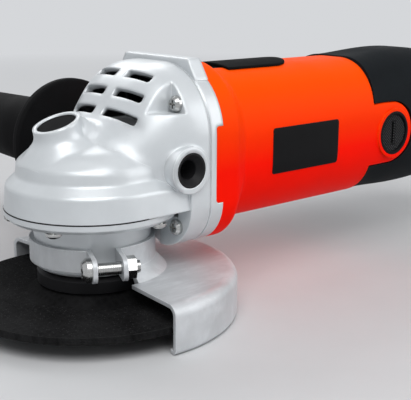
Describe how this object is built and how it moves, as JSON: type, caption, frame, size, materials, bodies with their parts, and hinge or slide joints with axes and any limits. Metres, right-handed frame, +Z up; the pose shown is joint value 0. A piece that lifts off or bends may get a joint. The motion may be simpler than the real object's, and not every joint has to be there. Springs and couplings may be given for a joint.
{
  "type": "angle grinder",
  "caption": "Corded angle grinder with cast gear head, moulded motor housing, rear grip, side handle, turning wheel guard, spindle lock, slide switch and geared motor inside.",
  "frame": {"origin": "centre of the spindle's free end face", "axes": "+Z up along the spindle towards the gear head, +X towards the rear handle, +Y towards the side handle"},
  "size_m": [0.311, 0.2231, 0.1067],
  "materials": {
    "silver_casting": "satin silver paint on a casting",
    "red_housing": "glossy moulded polyamide",
    "black_handle": "satin moulded",
    "black_grip": "fine matt grain",
    "guard_sheet": "light grey coated sheet steel",
    "abrasive": "resin bonded grit",
    "bright_steel": "zinc plated",
    "machined_steel": "ground",
    "dark_steel": "blackened",
    "lamination": "stacked sheet",
    "copper": "enamelled wire",
    "brass": "drawn",
    "carbon": "pressed carbon",
    "black_plastic": "fine texture",
    "cap_plastic": "knurled face",
    "fan_plastic": "moulded",
    "rubber": "moulded",
    "felt": "pressed felt"
  },
  "bodies": {
    "body": {"gear_housing": "silver_casting", "bearing_flange": "silver_casting", "gearbox_cover": "silver_casting", "cover_screws": "bright_steel", "head_screws": "bright_steel", "handle_sockets": "dark_steel", "spindle_main_bearing": "machined_steel", "spindle_top_bearing": "machined_steel", "bearing_retainer": "machined_steel", "dust_seal": "felt", "side_handle_grip": "black_grip", "side_handle_stud": "bright_steel", "motor_housing": "red_housing", "switch_track": "black_plastic", "switch_module": "black_plastic", "armature_front_bearing": "machined_steel", "armature_rear_bearing": "machined_steel", "rear_bearing_sleeve": "rubber", "stator_core": "lamination", "field_coils": "copper", "fan_baffle": "black_plastic", "brush_holders": "brass", "carbon_brushes": "carbon", "brush_springs": "machined_steel", "brush_caps": "cap_plastic", "rear_handle_left": "black_handle", "rear_handle_right": "black_handle", "rear_handle_screws": "bright_steel", "cord_gland": "rubber"},
    "armature": {"armature_shaft": "machined_steel", "armature_core": "lamination", "armature_winding": "copper", "commutator": "copper", "cooling_fan": "fan_plastic", "drive_pinion": "machined_steel", "pinion_nut": "bright_steel"},
    "spindle_group": {"spindle": "machined_steel", "crown_gear": "machined_steel", "woodruff_key": "machined_steel", "gear_clip": "machined_steel", "inner_flange": "dark_steel", "grinding_disc": "abrasive", "clamp_nut": "dark_steel"},
    "wheel_guard": {"guard": "guard_sheet", "guard_clamp_screw": "bright_steel", "guard_clamp_nut": "bright_steel"},
    "spindle_lock": {"lock_button": "black_plastic", "lock_pin": "machined_steel", "lock_clip": "machined_steel", "lock_spring": "machined_steel"},
    "switch": {"switch_slider": "black_plastic", "switch_rod": "machined_steel"}
  },
  "joints": [
    {"name": "armature_spin", "type": "hinge", "parent": "body", "child": "armature", "pos_m": [0, 0, 0.0605], "axis": [1, 0, 0], "continuous": true},
    {"name": "spindle_spin", "type": "hinge", "parent": "body", "child": "spindle_group", "pos_m": [0, 0, 0], "axis": [0, 0, 1], "continuous": true},
    {"name": "guard_turn", "type": "hinge", "parent": "body", "child": "wheel_guard", "pos_m": [0, 0, 0], "axis": [0, 0, 1], "range_deg": [-90, 30]},
    {"name": "lock_press", "type": "slide", "parent": "body", "child": "spindle_lock", "axis": [0.2164, 0, -0.9763], "range_m": [0, 0.004], "stiffness_N_per_m": 800, "springref_m": -0.002, "deforming": ["lock_spring"]},
    {"name": "switch_slide", "type": "slide", "parent": "body", "child": "switch", "axis": [-1, 0, 0], "range_m": [0, 0.007]}
  ],
  "couplings": [
    {"joint": "spindle_spin", "follows": "armature_spin", "ratio": 0.2973}
  ]
}
